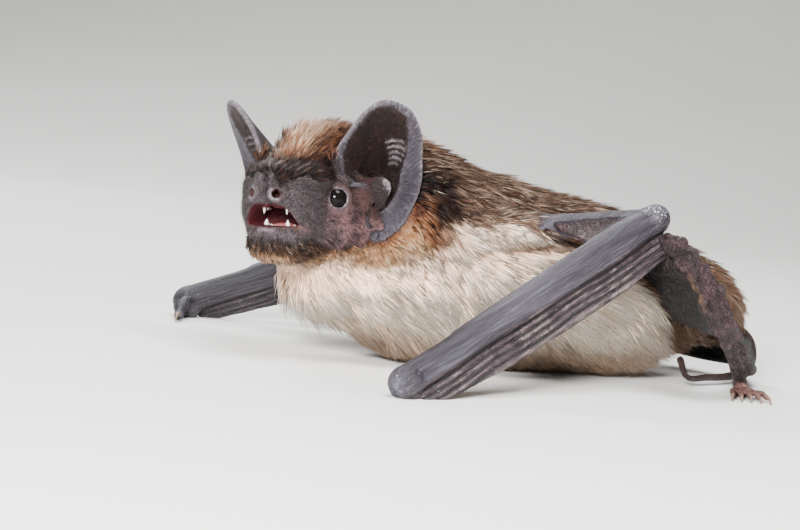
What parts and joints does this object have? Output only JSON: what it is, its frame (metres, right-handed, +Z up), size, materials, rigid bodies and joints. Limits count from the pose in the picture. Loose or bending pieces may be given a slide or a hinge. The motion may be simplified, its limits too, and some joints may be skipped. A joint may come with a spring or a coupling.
{
  "type": "bat",
  "caption": "Life-size still model of a small brown bat crouched on folded wings and hind feet, ears up, mouth part open, in dense frosted fur.",
  "frame": {"origin": "middle of the animal's box, on the floor it stands on", "axes": "-Y the way the body faces, +X the animal's left, +Z up"},
  "size_m": [0.0598, 0.0672, 0.0297],
  "materials": {
    "back_fur": "dense soft fur, dark at the root with pale frosted tips, matte",
    "belly_fur": "dense soft fur, grey-brown at the root with cream white tips, matte",
    "face_skin": "nearly bare grey-brown skin with short grizzled hair, satin",
    "ear_skin": "thin black-brown skin with fine cross wrinkles, satin",
    "wing_skin": "slate-grey wrinkled wing skin with fine speckle, satin",
    "membrane_skin": "dark purple-brown gathered skin, satin",
    "toe_skin": "pinkish-brown wrinkled skin, satin",
    "eye": "wet glossy black",
    "tongue": "moist pink-red",
    "claw": "smooth dark horn",
    "tooth": "smooth ivory enamel"
  },
  "bodies": {
    "root": {"neck": "back_fur", "rump": "back_fur", "left_thigh": "back_fur", "right_thigh": "back_fur", "chest": "belly_fur", "abdomen": "belly_fur", "head": "face_skin", "lower_jaw": "face_skin", "left_ear": "ear_skin", "left_tragus": "ear_skin", "right_ear": "ear_skin", "right_tragus": "ear_skin", "left_upper_arm": "wing_skin", "left_forearm": "wing_skin", "left_fingers": "wing_skin", "left_thumb": "wing_skin", "right_upper_arm": "wing_skin", "right_forearm": "wing_skin", "right_fingers": "wing_skin", "right_thumb": "wing_skin", "tail": "membrane_skin", "left_arm_membrane": "membrane_skin", "left_side_membrane": "membrane_skin", "left_shin": "membrane_skin", "left_tail_membrane": "membrane_skin", "right_arm_membrane": "membrane_skin", "right_side_membrane": "membrane_skin", "right_shin": "membrane_skin", "right_tail_membrane": "membrane_skin", "left_foot": "toe_skin", "right_foot": "toe_skin", "left_eye": "eye", "right_eye": "eye", "tongue": "tongue", "left_thumb_claw": "claw", "right_thumb_claw": "claw"}
  },
  "joints": []
}
